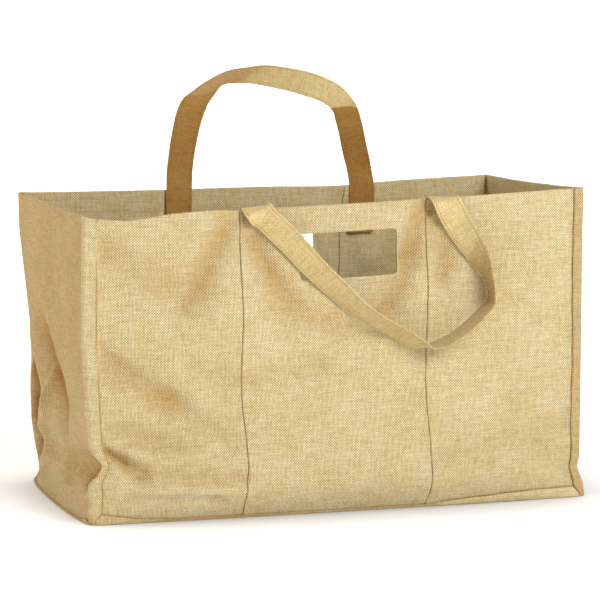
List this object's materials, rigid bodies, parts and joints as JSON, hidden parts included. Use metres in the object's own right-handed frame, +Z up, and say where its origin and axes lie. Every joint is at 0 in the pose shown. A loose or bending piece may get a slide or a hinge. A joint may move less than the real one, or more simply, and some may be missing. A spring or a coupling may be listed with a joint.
{
  "type": "firewood bag",
  "caption": "Open-topped, box-shaped firewood bag of woven jute with strap handles and hand slots, standing on the floor to hold and carry split logs.",
  "frame": {"origin": "on the floor, under the middle of the bag's width and depth", "axes": "+X to the right as seen from the front, -Y towards the front, +Z up"},
  "size_m": [0.6327, 0.3811, 0.5101],
  "materials": {
    "jute": "matt plain weave",
    "strap_jute": "matt plain weave"
  },
  "bodies": {
    "root": {"base_panel": "jute", "left_gusset": "jute", "right_gusset": "jute", "front_left_panel": "jute", "front_centre_panel": "jute", "front_right_panel": "jute", "back_left_panel": "jute", "back_centre_panel": "jute", "back_right_panel": "jute", "front_handle": "strap_jute", "back_handle": "strap_jute"}
  },
  "joints": []
}
